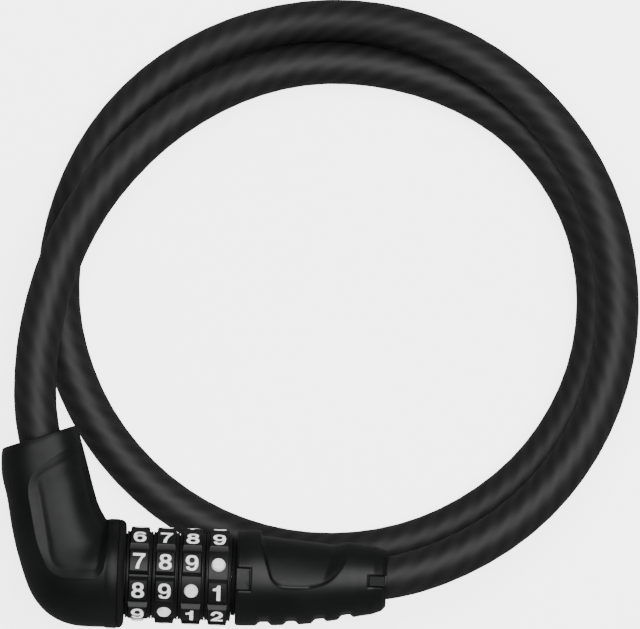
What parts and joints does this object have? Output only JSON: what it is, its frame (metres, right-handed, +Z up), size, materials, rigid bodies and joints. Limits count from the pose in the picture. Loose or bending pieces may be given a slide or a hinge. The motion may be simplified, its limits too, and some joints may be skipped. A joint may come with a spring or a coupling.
{
  "type": "coiled cable combination lock",
  "caption": "Coiled cable lock with an elbow end and a barrel of number dials; the bolt slides out of the barrel when the tumblers' gates line up.",
  "frame": {"origin": "middle of the cable's loop, on the surface that the lock lies on", "axes": "+X along the bolt, from the elbow to the housing; +Z up, the side from which the dials are read; +Y across the loop, away from the lock"},
  "size_m": [0.178, 0.1799, 0.0395],
  "materials": {
    "cable_jacket": "satin black plastic jacket over twisted steel rope",
    "cover_plastic": "moulded near-black plastic with a soft sheen",
    "trim_plastic": "moulded dark grey plastic",
    "dial_plastic": "near-black plastic with white numbers",
    "steel": "turned steel",
    "rope_steel": "twisted galvanised wire",
    "cast_zinc": "die-cast, dull",
    "brass": "machined"
  },
  "bodies": {
    "housing": {"lock_barrel": "steel", "barrel_end_washer": "trim_plastic", "detent_spring_strip": "steel", "housing_core": "cast_zinc", "neck_ring": "trim_plastic", "barrel_pin": "steel", "index_plate": "trim_plastic", "housing_cover": "cover_plastic", "cable_bush": "trim_plastic", "housing_ferrule": "cast_zinc", "housing_rope_end": "rope_steel", "housing_grub_screw": "steel", "cable_long_run": "cable_jacket"},
    "elbow_and_bolt": {"elbow_front_cover": "cover_plastic", "elbow_back_cover": "cover_plastic", "elbow_core": "cast_zinc", "elbow_flange": "cover_plastic", "elbow_end_ring": "trim_plastic", "bolt_shank": "steel", "bolt_cross_pin": "steel", "elbow_ferrule": "cast_zinc", "elbow_rope_end": "rope_steel", "elbow_grub_screw": "steel", "cable_elbow_run": "cable_jacket"},
    "first_dial": {"dial_1": "dial_plastic", "tumbler_1": "brass"},
    "second_dial": {"dial_2": "dial_plastic", "tumbler_2": "brass"},
    "third_dial": {"dial_3": "dial_plastic", "tumbler_3": "brass"},
    "fourth_dial": {"dial_4": "dial_plastic", "tumbler_4": "brass"}
  },
  "joints": [
    {"name": "bolt_slide", "type": "slide", "parent": "housing", "child": "elbow_and_bolt", "axis": [-1, 0, 0], "range_m": [0, 0.034]},
    {"name": "dial_1_turn", "type": "hinge", "parent": "housing", "child": "first_dial", "pos_m": [-0.05198, -0.0765, 0.024], "axis": [1, 0, 0], "continuous": true},
    {"name": "dial_2_turn", "type": "hinge", "parent": "housing", "child": "second_dial", "pos_m": [-0.04453, -0.0765, 0.024], "axis": [1, 0, 0], "continuous": true},
    {"name": "dial_3_turn", "type": "hinge", "parent": "housing", "child": "third_dial", "pos_m": [-0.03708, -0.0765, 0.024], "axis": [1, 0, 0], "continuous": true},
    {"name": "dial_4_turn", "type": "hinge", "parent": "housing", "child": "fourth_dial", "pos_m": [-0.02963, -0.0765, 0.024], "axis": [1, 0, 0], "continuous": true}
  ]
}
